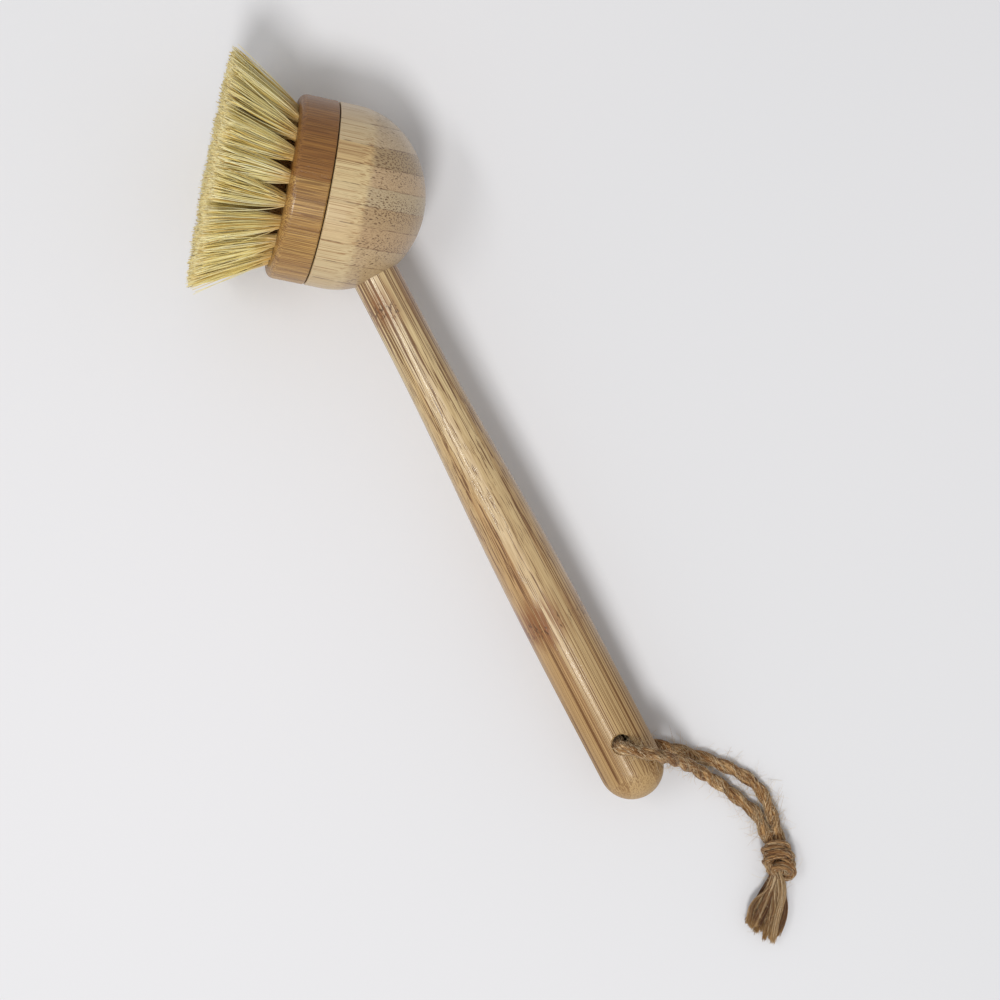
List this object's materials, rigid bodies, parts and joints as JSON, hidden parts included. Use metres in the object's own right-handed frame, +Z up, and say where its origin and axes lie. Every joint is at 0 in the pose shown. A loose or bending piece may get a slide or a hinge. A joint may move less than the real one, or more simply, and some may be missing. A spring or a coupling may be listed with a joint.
{
  "type": "dish brush",
  "caption": "Round-headed dish brush lying on its side: screw-on bristle head, domed joint, angled turned handle and a knotted hanging cord.",
  "frame": {"origin": "on the table, under the middle of the box round the brush without its cord, as it lies on its bristle rim, its dome and its cord", "axes": "+X along the table from the head towards the handle's hanging end, +Z up from the table"},
  "size_m": [0.2857, 0.0783, 0.0638],
  "materials": {
    "bamboo_handle": "satin lacquered bamboo with fine dark streaks",
    "bamboo_dome": "satin lacquered bamboo lamination with end grain",
    "head_wood": "bare sanded wood, lightly oiled",
    "brass": "turned",
    "steel": "zinc plated",
    "fibre": "stiff straw-coloured plant fibre",
    "jute": "three-ply twisted jute twine"
  },
  "bodies": {
    "root": {"handle": "bamboo_handle", "dome": "bamboo_dome", "threaded_insert": "brass", "cord_over": "jute", "cord_under": "jute", "cord_knot": "jute", "cord_tassel": "jute"},
    "head_stud": {"head_stud": "steel"},
    "brush_head": {"brush_disc": "head_wood", "tuft_anchors": "steel", "tuft_outer_01": "fibre", "tuft_outer_02": "fibre", "tuft_outer_03": "fibre", "tuft_outer_04": "fibre", "tuft_outer_05": "fibre", "tuft_outer_06": "fibre", "tuft_outer_07": "fibre", "tuft_outer_08": "fibre", "tuft_outer_09": "fibre", "tuft_outer_10": "fibre", "tuft_outer_11": "fibre", "tuft_outer_12": "fibre", "tuft_outer_13": "fibre", "tuft_outer_14": "fibre", "tuft_outer_15": "fibre", "tuft_outer_16": "fibre", "tuft_outer_17": "fibre", "tuft_outer_18": "fibre", "tuft_outer_19": "fibre", "tuft_outer_20": "fibre", "tuft_middle_01": "fibre", "tuft_middle_02": "fibre", "tuft_middle_03": "fibre", "tuft_middle_04": "fibre", "tuft_middle_05": "fibre", "tuft_middle_06": "fibre", "tuft_middle_07": "fibre", "tuft_middle_08": "fibre", "tuft_middle_09": "fibre", "tuft_middle_10": "fibre", "tuft_middle_11": "fibre", "tuft_middle_12": "fibre", "tuft_middle_13": "fibre", "tuft_core_01": "fibre", "tuft_core_02": "fibre", "tuft_core_03": "fibre", "tuft_core_04": "fibre", "tuft_core_05": "fibre", "tuft_core_06": "fibre"}
  },
  "joints": [
    {"name": "head_travel", "type": "slide", "parent": "root", "child": "head_stud", "axis": [-0.6028, -0.7727, 0.1988], "range_m": [0, 0.006]},
    {"name": "head_turn", "type": "hinge", "parent": "head_stud", "child": "brush_head", "pos_m": [-0.07129, 0.00811, 0.02596], "axis": [-0.6028, -0.7727, 0.1988], "range_deg": [0, 2160]}
  ],
  "couplings": [
    {"joint": "head_travel", "follows": "head_turn", "m_per_rad": 0.00015915}
  ]
}
